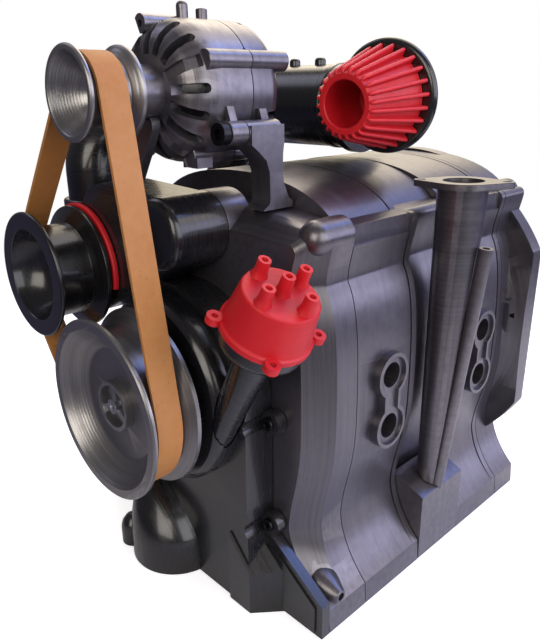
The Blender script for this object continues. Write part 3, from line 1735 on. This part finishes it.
    def bracket(self) -> Piece:
        """The arm under the clamp with its spreading foot."""
        foot = self.foot_height() + SEAM
        outline = [
            (-53.0, 134.0),
            (-53.0, 129.4),
            (-50.6, 127.6),
            (-48.2, 125.4),
            (-47.2, 122.5),
            (-47.0, foot + 2.4),
            (-47.4, foot + 1.4),
            (-49.6, foot),
            (-38.9, foot),
            (-38.9, foot + 1.6),
            (-40.4, foot + 2.6),
            (-42.2, foot + 6.6),
            (-42.6, 122.5),
            (-42.4, 127.0),
            (-42.0, 129.4),
            (-42.0, 134.0),
        ]
        ex, ez = self.ear_place
        piece = pushed(
            "alternator_bracket_fine", [at(self.bracket_side, y, z) for y, z in outline],
            at(self.bracket_width, 0, 0),
        )
        boss = pin("boss", self.ear_radius, (ex, ez), -53.3, -42, 48, 0, 0.4)
        lug = slab(
            "lug", [(ex - 1.2, ez), (ex + 0.6, ez + 1), (ex - 1.0, ez + 5.4), (ex - 2.0, ez + 5.4)],
            -46.6, -44.2,
        )
        worked(piece, Work.JOIN, boss, lug)
        tools = [
            rod(
                "keep_off", self.radius + SEAM, self.centre() + at(0, self.front, 0),
                self.centre() + at(0, -38, 0), 128,
            ),
            *self.bolts(self.bolt_front, -38, self.bolt_radius + SEAM),
            pin("hole", 1.8, (ex, ez), -54, -43, 32),
        ]
        worked(piece, Work.CUT, *tools)
        return eased(piece, 0.25, 30)

    def foot_height(self) -> float:
        """Height of the front side housing's crown under the bracket."""
        side = self.bracket_side
        row = [p for p in SHAPE.outline(0, FRONT_CROWN) if p[1] > SHAFT_HEIGHT and p[0] >= 0]
        for p, q in zip(row, row[1:]):
            if (p[0] - side) * (q[0] - side) <= 0 and p[0] != q[0]:
                return p[1] + (q[1] - p[1]) * (side - p[0]) / (q[0] - p[0])
        return FRONT_CROWN

    def strap(self) -> Piece:
        """The flat strap down to the pump."""
        outline = hull([*circle(2.4, 134.2, 2.5, 32), *circle(-6.5, 120.5, 2.5, 32)])
        piece = slab("adjusting_strap_fine", outline, -69.4, -67.0)
        collar = rod(
            "collar", 6.7, self.centre() + at(0, -70.4, 0), self.centre() + at(0, -66.9, 0), 64
        )
        worked(piece, Work.CUT, collar)
        return eased(piece, 0.25, 30)


@dataclass
class Throttle:
    """The barrel across the top, the neck to the filter and the intake side."""

    y: float = 15.4
    z: float = 136.6
    left: float = -38.0
    right: float = 2.6
    radius: float = 13.3

    def barrel(self) -> Piece:
        """The barrel with its rim, end band and two bumps."""
        rounded = arc(9.9, 3.4, 3.4, -TURN / 4, 0, 8)
        profile = [(0, self.left), *[(r, self.left + a) for r, a in rounded]]
        profile += [
            (self.radius, -8.6),
            (self.radius + 0.35, -8.3),
            (self.radius + 0.35, -6.2),
            (self.radius, -5.9),
            (self.radius, -0.4),
            (14.7, -0.4),
            (14.7, self.right),
            (0, self.right),
        ]
        piece = turned("throttle_barrel_fine", profile, at(0, self.y, self.z), ACROSS, 128)
        top = self.z + 15.6
        bumps = [
            rod(
                "bump", 1.9, at(x, self.y, self.z), at(x, self.y, top), 40, 0, 1.2
            ) for x in (-29, -17)
        ]
        worked(piece, Work.JOIN, *bumps)
        return eased(piece, 0.3, 30)

    def neck(self) -> Piece:
        """The neck from the barrel's end to the back of the filter."""
        cone = FilterCone()
        start = at(self.right + SEAM, self.y, self.z)
        back = -cone.axis()
        end = cone.base() + back * (1.5 + SEAM) * MM
        lead = end + back * 2 * MM
        corner = at(end.x / MM, self.y, (self.z + 139.7) / 2)
        first = start + at(2, 0, 0)
        path = [start]
        for i in range(13):
            t = i / 12
            path.append(first * (1 - t) ** 2 + corner * 2 * t * (1 - t) + lead * t * t)
        path.append(end)
        piece = swept("throttle_elbow_fine", path, [7.0] * len(path), 64)
        flange = rod("flange", 9.2, start, start + at(2, 0, 0), 96, 0, 0.5)
        worked(piece, Work.JOIN, flange)
        keep = rod("keep", 50, end, end + back * 0.06, 48)
        side = block("side", (self.right + SEAM, -40, 80), (70, 80, 200))
        worked(piece, Work.KEEP, keep, side)
        return eased(piece, 0.25, 35)

    def intake(self) -> Piece:
        """The plate, the two runners and the collector on the far side."""
        face = -46.3
        piece = block("intake_manifold_fine", (face - 3, -30, 49), (face, 30, 69))
        forms = [
            rod("collector", 11, at(-46.3, self.y, self.z), at(-38.3, self.y, self.z), 96, 0.8)
        ]
        for side in (-1, 1):
            y = side * 17
            stations = [
                (face - 1.5, y, 59),
                (face - 14.4, y, 65),
                (face - 17.4, (y + self.y) / 2, (59 + self.z) / 2),
                (-42.3 - 3, self.y + side * 3.1, self.z - 5.5),
            ]
            forms.append(swept("runner", smooth_path(stations, 28), [6.2] * 29, 48))
        worked(piece, Work.JOIN, *forms)
        wall = block("wall", (face, -60, 0), (0, 60, self.z - 11))
        room = block("room", (self.left - SEAM, self.y - 27, SHAFT_HEIGHT), (3, self.y + 27, 270))
        worked(piece, Work.CUT, wall, room)
        return eased(piece, 0.3, 32)


def smooth_path(stations: Sequence[Sequence[float]], steps: int) -> list[Vector]:
    """A smooth line through a few places.

    Args:
        stations: the places in millimetres. steps: how many chords the whole line has.

    Returns:
        The points, both ends included, in metres.
    """
    spots = [Vector(s) for s in stations]
    spots = [spots[0] * 2 - spots[1], *spots, spots[-1] * 2 - spots[-2]]
    line = []
    for i in range(steps + 1):
        place = min(i / steps * (len(stations) - 1), len(stations) - 1 - 1e-9)
        k, t = int(place), place - int(place)
        a, b, c, d = spots[k : k + 4]
        square, cube = a * 2 - b * 5 + c * 4 - d, b * 3 - a - c * 3 + d
        line.append(0.5 * MM * (b * 2 + (c - a) * t + square * t * t + cube * t**3))
    return line


@dataclass
class FilterCone:
    """The red finned cone on its black disc."""

    place: Vector = Vector((20.0, 3.4, 139.7))
    yaw: float = 0.13
    dip: float = 0.07
    disc_radius: float = 16.3
    start: float = 1.8
    end: float = 23.3
    fins: int = 24
    fin_width: float = 1.15

    def axis(self) -> Vector:
        """The way the cone points."""
        way = Vector((math.sin(self.yaw), -math.cos(self.yaw), -math.sin(self.dip)))
        return way.normalized()

    def base(self) -> Vector:
        """The middle of the disc, in metres."""
        return self.place * MM

    def disc(self) -> Piece:
        """The black disc with its rounded rim."""
        half = 1.5
        rim = arc(self.disc_radius - half, 0, half, -TURN / 4, TURN / 4, 10)
        piece = turned(
            "filter_base_plate_fine", [(0, -half), *rim, (0, half)], Vector(), ALONG_SHAFT, 128
        )
        return eased(laid(piece, self.base(), self.axis()), 0, 30)

    def fin(self) -> Piece:
        """One fin with a rounded outer edge and a rounded end at the mouth."""
        half = self.fin_width / 2
        rings = []
        stations = (
            (self.start, 14.8, 1.0), (self.end - 1.4, 9.75, 1.0), (self.end - 0.5, 9.3, 0.85),
            (self.end, 8.6, 0.5),
        )
        for along, tip, share in stations:
            width = half * share
            section = [(7.0, -width), (tip - width, -width)]
            section += [p for p in arc(tip - width, 0, width, -TURN / 4, TURN / 4, 6)]
            section += [(7.0, width)]
            rings.append([at(r, along, t) for r, t in without_repeats(section)])
        return lofted("fin", rings)

    def cone(self) -> Piece:
        """The core with its deep mouth and all the fins."""
        profile = [
            (0, self.start),
            (12.6, self.start),
            (8.2, self.end - 0.3),
            (7.9, self.end),
            (6.6, self.end),
            (6.3, self.end - 0.3),
            (6.3, self.end - 19),
            (0, self.end - 19),
        ]
        piece = turned("air_filter_fine", profile, Vector(), ALONG_SHAFT, 96)
        fins = round_axis(self.fin(), self.fins, Vector(), ALONG_SHAFT)
        worked(piece, Work.JOIN, *fins)
        return eased(laid(piece, self.base(), self.axis()), 0.12, 35)


@dataclass
class Tubes:
    """The oil filler with its oval flange, and the dipstick tube beside it."""

    foot: Place = (47.4, -1.2, 22.0)
    top: Place = (50.4, -1.2, 117.6)
    dip_foot: Place = (50.4, -1.4, 22.2)
    dip_top: Place = (58.2, 0.4, 100.6)
    turn: float = 0.5

    def bar(
        self, name: str, low: Sequence[float], high: Sequence[float], radii: Pair,
        over: Pair = (0, 0),
    ) -> Piece:
        """A round bar, tapered and run over its ends by so much."""
        start, end = at(*low), at(*high)
        way = (end - start).normalized()
        length = (end - start).length / MM
        profile = [
            (0, -over[0]), (radii[0], -over[0]), (radii[1], length + over[1]), (0, length + over[1])
        ]
        return turned(name, profile, start, way, 72)

    def seat(self) -> Piece:
        """The foot block as the room that both tubes are cut by."""
        middle = MiddleHousing()
        outer = SHAPE.rail_half
        high, low = middle.block_inner + SEAM, middle.block_height + SEAM
        points = [
            (outer - 12, 0), (outer, 0), (outer, low), (outer - middle.slope_run, high),
            (outer - 12, high),
        ]
        return slab("seat", points, -middle.block_half, middle.block_half)

    def filler(self) -> Piece:
        """The tapered tube with its flange and bore."""
        piece = self.bar("oil_filler_tube_fine", self.foot, self.top, (3.9, 6.9))
        outline = [*circle(-11.2, 0, 2, 32), *circle(11.2, 0, 2, 32), *circle(0, 0, 9, 96)]
        points = [
            Vector((x, y, -0.85)) * MM
            for x, y in hull([(round(a, 5), round(b, 5)) for a, b in outline])
        ]
        plate = pushed("flange", points, at(0, 0, 1.7))
        holes = [rod("hole", 1.2, at(x, 0, -2), at(x, 0, 2), 32) for x in (-11.2, 11.2)]
        worked(plate, Work.CUT, *holes)
        plate.data.transform(Matrix.Translation(at(*self.top)) @ Matrix.Rotation(self.turn, 4, "Z"))
        worked(piece, Work.JOIN, plate)
        low = (self.foot[0], self.foot[1], self.foot[2] + 1.8)
        bore = self.bar("bore", low, self.top, (2.6, 5.6), (0, 1.5))
        stick = self.bar("stick", self.dip_foot, self.dip_top, (2.3, 2.3), (1, 1))
        worked(piece, Work.CUT, bore, self.seat(), stick)
        return eased(piece, 0.2, 35)

    def dipstick(self) -> Piece:
        """The narrow tube beside the filler."""
        piece = self.bar("dipstick_tube_fine", self.dip_foot, self.dip_top, (2, 2))
        bore = self.bar("bore", self.dip_foot, self.dip_top, (1.1, 1.1), (-1, 1))
        worked(piece, Work.CUT, bore, self.seat())
        return eased(piece, 0.15, 35)


@dataclass
class Flywheel:
    """The round wheel behind the bell flange, with six holes round its hub."""

    radius: float = 42.0
    front: float = 51.6
    back: float = 56.6
    rim: float = 7.0
    web_back: float = 54.93
    hub_radius: float = 13.0
    hub_back: float = 57.73
    bore: float = 5.15
    holes: int = 6
    hole_radius: float = 4.0
    hole_reach: float = 27.0

    def build(self) -> Piece:
        """Spins the wheel, then cuts one hole and turns its copies round the shaft."""
        profile = [
            (self.bore, self.front),
            (self.radius, self.front),
            (self.radius, self.back),
            (self.radius - self.rim, self.back),
            (self.radius - self.rim - 0.8, self.web_back),
            (self.hub_radius + 0.8, self.web_back),
            (self.hub_radius, self.hub_back),
            (self.bore, self.hub_back),
        ]
        centre = at(0, 0, SHAFT_HEIGHT)
        piece = turned("flywheel_fine", profile, centre, ALONG_SHAFT, 160)
        start = at(self.hole_reach, self.front - 1, SHAFT_HEIGHT)
        hole = rod("hole", self.hole_radius, start, start + at(0, 8, 0), 48)
        holes = round_axis(hole, self.holes, centre, ALONG_SHAFT)
        return eased(worked(piece, Work.CUT, *holes), 0.3, 30)


# Scene


@dataclass(frozen=True)
class Glow:
    """A soft patch of light in the surround."""

    aim: Place
    inner: float
    outer: float
    colour: Colour

    def share(self, board: Board, way: Socket) -> Socket:
        """1 inside the inner angle round the aim, 0 outside the outer one."""
        near = board.dot(way, tuple(Vector(self.aim).normalized()))
        outer, inner = (math.cos(math.radians(v)) for v in (self.outer, self.inner))
        return board.ranged(near, outer, inner, 0, 1)


@dataclass
class Studio:
    """Camera, lamps and the pale floor."""

    glows: tuple[Glow, ...] = (
        Glow((-0.58, 0.80, 0.18), 12, 38, (1.25, 1.1, 0.8)),
        Glow((0.78, 0.62, 0.12), 12, 30, (2.5, 2.5, 3.4)),
        Glow((0.20, 0.65, 0.72), 12, 34, (0.75, 0.78, 1.15)),
        Glow((0.60, 0.57, 0.56), 4, 11, (2.6, 2.4, 2.3)),
        Glow((-0.50, 0.60, 0.55), 8, 22, (3.2, 2.8, 2.2)),
        Glow((0.28, 0.584, 0.76), 5, 13, (1.6, 2.5, 6.5)),
        Glow((-0.68, -0.14, 0.72), 6, 18, (1.3, 1.3, 1.6)),
    )
    bright_floor: Place = (0.07, 0.07, 0.0)
    location: Vector = Vector((0.14117, -0.16124, 0.14227))
    azimuth: float = 46.24
    elevation: float = 19.77
    roll: float = -0.63
    lens: float = 36.16

    def camera(self) -> None:
        """Sets the camera at the photograph's viewing angle."""
        a, e, r = (math.radians(v) for v in (self.azimuth, self.elevation, self.roll))
        back = Vector((math.sin(a) * math.cos(e), -math.cos(a) * math.cos(e), math.sin(e)))
        right = UPRIGHT.cross(back).normalized()
        up = back.cross(right)
        right, up = right * math.cos(r) + up * math.sin(r), up * math.cos(r) - right * math.sin(r)
        data = bpy.data.cameras.new("camera")
        data.sensor_fit = "VERTICAL"
        data.sensor_height = 36.0
        data.lens = self.lens
        data.clip_start = 0.01
        holder = bpy.data.objects.new("camera", data)
        turn = Matrix((right, up, back)).transposed().to_4x4()
        holder.matrix_world = Matrix.Translation(self.location) @ turn
        bpy.context.scene.collection.objects.link(holder)
        bpy.context.scene.camera = holder

    def lamp(
        self, name: str, spot: Vector, aim: Vector, size: float, power: float, colour: Colour
    ) -> None:
        """Hangs one soft square lamp."""
        data = bpy.data.lights.new(name, "AREA")
        data.shape = "SQUARE"
        data.size = size
        data.energy = power
        data.color = colour
        holder = bpy.data.objects.new(name, data)
        holder.location = spot
        holder.rotation_euler = (spot - aim).to_track_quat("Z", "Y").to_euler()
        bpy.context.scene.collection.objects.link(holder)

    def world(self) -> None:
        """A soft grey surround that the camera sees as white."""
        world = bpy.data.worlds.new("surround")
        bpy.context.scene.world = world
        world.use_nodes = True
        board = Board(world.node_tree)
        for old in list(world.node_tree.nodes):
            world.node_tree.nodes.remove(old)
        out = board.node("ShaderNodeOutputWorld")
        path = board.node("ShaderNodeLightPath")
        way = board.node("ShaderNodeTexCoord").outputs["Generated"]
        rise = board.node("ShaderNodeSeparateXYZ", {0: way}).outputs["Z"]
        high = board.ranged(rise, 0.0, 1.0, 0, 1)
        tone = board.mixed(high, (0.095, 0.09, 0.105), (0.15, 0.143, 0.155))
        for spot in self.glows:
            tone = board.mixed(spot.share(board, way), tone, spot.colour)
        soft = board.node("ShaderNodeBackground", {"Color": tone, "Strength": 1.0})
        white = board.node("ShaderNodeBackground", {"Color": (1, 1, 1, 1), "Strength": 1.0})
        seen = board.math(
            "MAXIMUM", path.outputs["Is Camera Ray"], path.outputs["Is Transmission Ray"]
        )
        mix = board.node("ShaderNodeMixShader", {0: seen, 1: soft.outputs[0], 2: white.outputs[0]})
        board.wired(out, {0: mix.outputs[0]})

    def floor(self) -> None:
        """A large pale floor that keeps the object's soft shadow."""
        bpy.ops.object.select_all(action="DESELECT")
        bpy.ops.mesh.primitive_plane_add(size=4.0)
        floor = bpy.context.object
        floor.name = "floor"
        floor.location = (0, 0, -0.0002)
        made = bpy.data.materials.new("pale_floor")
        made.use_nodes = True
        board = Board(made.node_tree)
        shader = made.node_tree.nodes["Principled BSDF"]
        board.wired(shader, {"Roughness": 0.9, "Specular IOR Level": 0.1})
        path = board.node("ShaderNodeLightPath")
        glow = board.node("ShaderNodeEmission", {"Color": (1, 1, 1, 1), "Strength": 0.62})
        seen = path.outputs["Is Camera Ray"]
        add = board.node("ShaderNodeAddShader", {0: shader.outputs[0], 1: glow.outputs[0]})
        mix = board.node("ShaderNodeMixShader", {0: seen, 1: shader.outputs[0], 2: add.outputs[0]})
        where = board.node("ShaderNodeTexCoord").outputs["Object"]
        far = board.vector("LENGTH", where).outputs["Value"]
        off = board.vector("DISTANCE", where, self.bright_floor).outputs["Value"]
        away = board.math("MULTIPLY", board.ranged(far, 0.16, 0.42, 0, 1), seen)
        unseen = board.math("SUBTRACT", 1.0, seen)
        dark = board.math("MULTIPLY", board.ranged(off, 0.14, 0.28, 0, 1), unseen)
        tone = board.mixed(dark, (0.93, 0.93, 0.95), (0.085, 0.083, 0.13))
        board.wired(shader, {"Base Color": tone})
        white = board.node("ShaderNodeEmission", {"Color": (1, 1, 1, 1), "Strength": 1.0})
        out = board.node("ShaderNodeMixShader", {0: away, 1: mix.outputs[0], 2: white.outputs[0]})
        board.wired(made.node_tree.nodes["Material Output"], {0: out.outputs[0]})
        floor.data.materials.append(made)
        floor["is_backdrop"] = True

    def build(self) -> None:
        """Sets up the whole studio."""
        bpy.context.scene.view_settings.view_transform = "Standard"
        self.camera()
        self.world()
        self.floor()
        aim = Vector((0, 0, 0.07))
        self.lamp("overhead", Vector((-0.1, 0.25, 0.75)), aim, 0.6, 1.8, (1.0, 0.9, 0.74))
        self.lamp("window", Vector((0.75, -0.1, 0.35)), aim, 0.6, 3.4, (0.95, 0.95, 1.0))
        self.lamp("fill", Vector((0.35, -0.75, 0.4)), aim, 0.5, 3.2, (1.0, 0.94, 0.86))


def dress_frame() -> None:
    """Gives every CAD node the finish of its slot."""
    slot_of = {row["node"]: row["material_slot"] for row in frame["record"]["subparts"]}
    for name, node in frame["nodes"].items():
        finish = FINISH_OF_SLOT[slot_of[name]]
        node.data.materials.clear()
        node.data.materials.append(finish.material(ALONG_SHAFT))


def main() -> None:
    """Builds every sub-assembly in order and reports each piece."""
    logging.basicConfig(level=logging.INFO, format="%(message)s")
    Studio().build()
    dress_frame()
    for name, front, back in (
        ("front_rotor_housing", ROTOR_FRONT + SEAM / 2, -MIDDLE_HALF - SEAM / 2),
        ("rear_rotor_housing", MIDDLE_HALF + SEAM / 2, ROTOR_BACK - SEAM / 2),
    ):
        dressed(RotorHousing(name, front, back).build(), GUNMETAL, BLOCK, [name])
    dressed(SideHousing().build(), GUNMETAL, BLOCK, ["front_side_housing"])
    dressed(MiddleHousing().build(), GUNMETAL, BLOCK, ["intermediate_housing"])
    dressed(RearHousing().build(), GUNMETAL, BLOCK, ["rear_side_housing"])
    for pulley in (CRANK_PULLEY, PUMP_PULLEY, ALTERNATOR_PULLEY):
        dressed(pulley.build(), pulley.finish, pulley.body, [pulley.node])
    dressed(Belt().build(), RUBBER, BLOCK, ["drive_belt"])
    dressed(FrontCover().build(), BLACK, BLOCK, ["front_cover"])
    distributor = Distributor()
    lean = Vector((math.sin(distributor.lean), 0, math.cos(distributor.lean)))
    dressed(distributor.body(), BLACK, BLOCK, ["distributor_body"], lean)
    dressed(distributor.cap(), RED, BLOCK, ["distributor_cap"], lean)
    pump = WaterPump()
    dressed(pump.body(), BLACK, BLOCK, ["water_pump_body"])
    dressed(pump.ring(), RED, BLOCK, ["water_pump_ring"])
    dressed(pump.elbow(), BLACK, BLOCK, ["coolant_elbow"], UPRIGHT)
    alternator = Alternator()
    dressed(alternator.front_bell(), GUNMETAL, BLOCK, ["alternator_front_bell"])
    dressed(alternator.rear_bell(), GUNMETAL, BLOCK, ["alternator_rear_bell"])
    dressed(alternator.bracket(), GUNMETAL, BLOCK, ["alternator_bracket"], ACROSS)
    dressed(alternator.strap(), GUNMETAL, BLOCK, ["adjusting_strap"])
    throttle = Throttle()
    dressed(throttle.barrel(), BLACK, BLOCK, ["throttle_barrel"], ACROSS)
    dressed(throttle.neck(), BLACK, BLOCK, ["throttle_elbow"], ACROSS)
    dressed(throttle.intake(), BLACK, BLOCK, ["intake_manifold"], ACROSS)
    filter_cone = FilterCone()
    dressed(filter_cone.disc(), BLACK, BLOCK, ["filter_base_plate"], filter_cone.axis())
    dressed(filter_cone.cone(), RED, BLOCK, ["air_filter"], filter_cone.axis())
    tubes = Tubes()
    dressed(tubes.filler(), GUNMETAL, BLOCK, ["oil_filler_tube"], UPRIGHT)
    dressed(tubes.dipstick(), GUNMETAL, BLOCK, ["dipstick_tube"], UPRIGHT)
    dressed(Flywheel().build(), GUNMETAL, "crankshaft", ["flywheel"])
    for screw in SCREWS:
        dressed(screw.build(), screw.finish, screw.body, [screw.node])
    boxes = {"cad": CAD_BOX, "visual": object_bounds()}
    {key: [list(corner) for corner in box] for key, box in boxes.items()}


if __name__ == "__main__":
    main()
